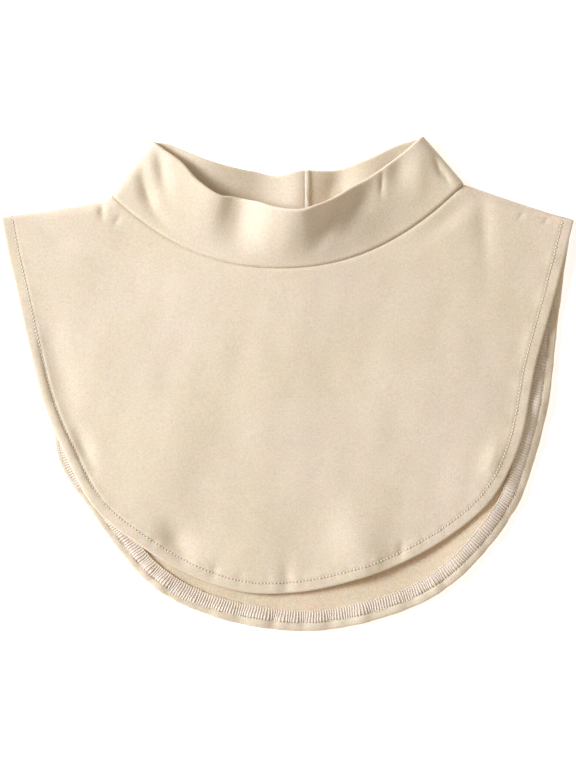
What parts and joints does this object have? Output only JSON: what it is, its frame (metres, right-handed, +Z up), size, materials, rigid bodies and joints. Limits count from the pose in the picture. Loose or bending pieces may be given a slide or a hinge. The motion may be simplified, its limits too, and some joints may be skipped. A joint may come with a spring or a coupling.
{
  "type": "turtleneck dickey",
  "caption": "Turtleneck dickey of brushed jersey lying flat on its back: a doubled neck band standing slightly open above a round-hemmed front bib and a longer back bib.",
  "frame": {"origin": "under the middle of the whole dickey, on the surface that it lies on", "axes": "+X across the shoulders, towards the wearer's left; +Y from the hems to the collar; +Z up from the surface, out of the front bib"},
  "size_m": [0.38, 0.3282, 0.0392],
  "materials": {
    "front_jersey": "matt brushed face",
    "back_jersey": "matt wrong side",
    "collar_jersey": "matt brushed face, doubled"
  },
  "bodies": {
    "root": {"back_panel": "back_jersey", "back_hem": "back_jersey", "front_hem": "front_jersey", "front_panel": "front_jersey", "collar": "collar_jersey"}
  },
  "joints": []
}
